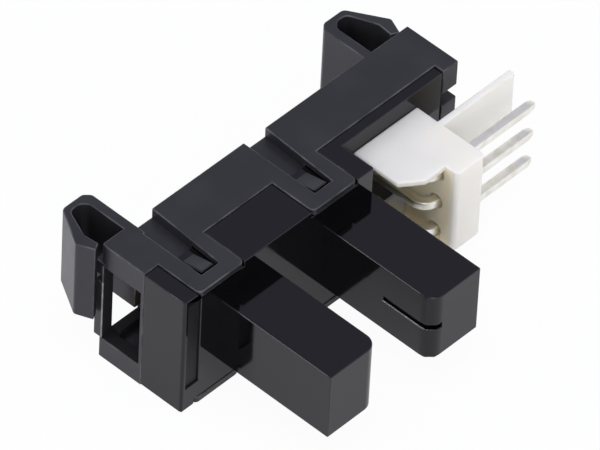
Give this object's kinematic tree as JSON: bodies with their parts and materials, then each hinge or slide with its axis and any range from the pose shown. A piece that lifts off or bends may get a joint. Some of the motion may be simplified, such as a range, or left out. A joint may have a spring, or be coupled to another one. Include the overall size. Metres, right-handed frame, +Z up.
{
  "type": "slotted optical switch",
  "caption": "Snap-in slotted optical switch: hollow arms face each other across a slot, in a holder with hooks and a right-angle pin header.",
  "frame": {"origin": "on the panel seat (the holder's back face), straight behind the middle of the slot and at half the body's height", "axes": "+X along the body towards the pin header, -Y out along the arms, +Y into the panel, +Z up from the broad face it lies on"},
  "size_m": [0.0323, 0.0207, 0.01],
  "materials": {
    "matte_black": "fine matte moulding",
    "gloss_black": "polished infrared-passing moulding",
    "white_nylon": "satin moulding",
    "tinned_brass": "tin plated",
    "board": "bare laminate",
    "clear_resin": "clear moulded resin",
    "dark_resin": "dark moulded resin",
    "lead_metal": "tin plated",
    "chip": "glazed ceramic",
    "solder": "bright solder"
  },
  "bodies": {
    "root": {"holder": "matte_black", "sensor_case": "gloss_black", "connector_housing": "white_nylon", "contact_pin_1": "tinned_brass", "contact_pin_2": "tinned_brass", "contact_pin_3": "tinned_brass", "circuit_board": "board", "emitter_package": "clear_resin", "emitter_lead_anode": "lead_metal", "emitter_lead_cathode": "lead_metal", "detector_package": "dark_resin", "detector_lead_supply": "lead_metal", "detector_lead_output": "lead_metal", "detector_lead_ground": "lead_metal", "series_resistor": "chip", "solder_joints": "solder"}
  },
  "joints": []
}
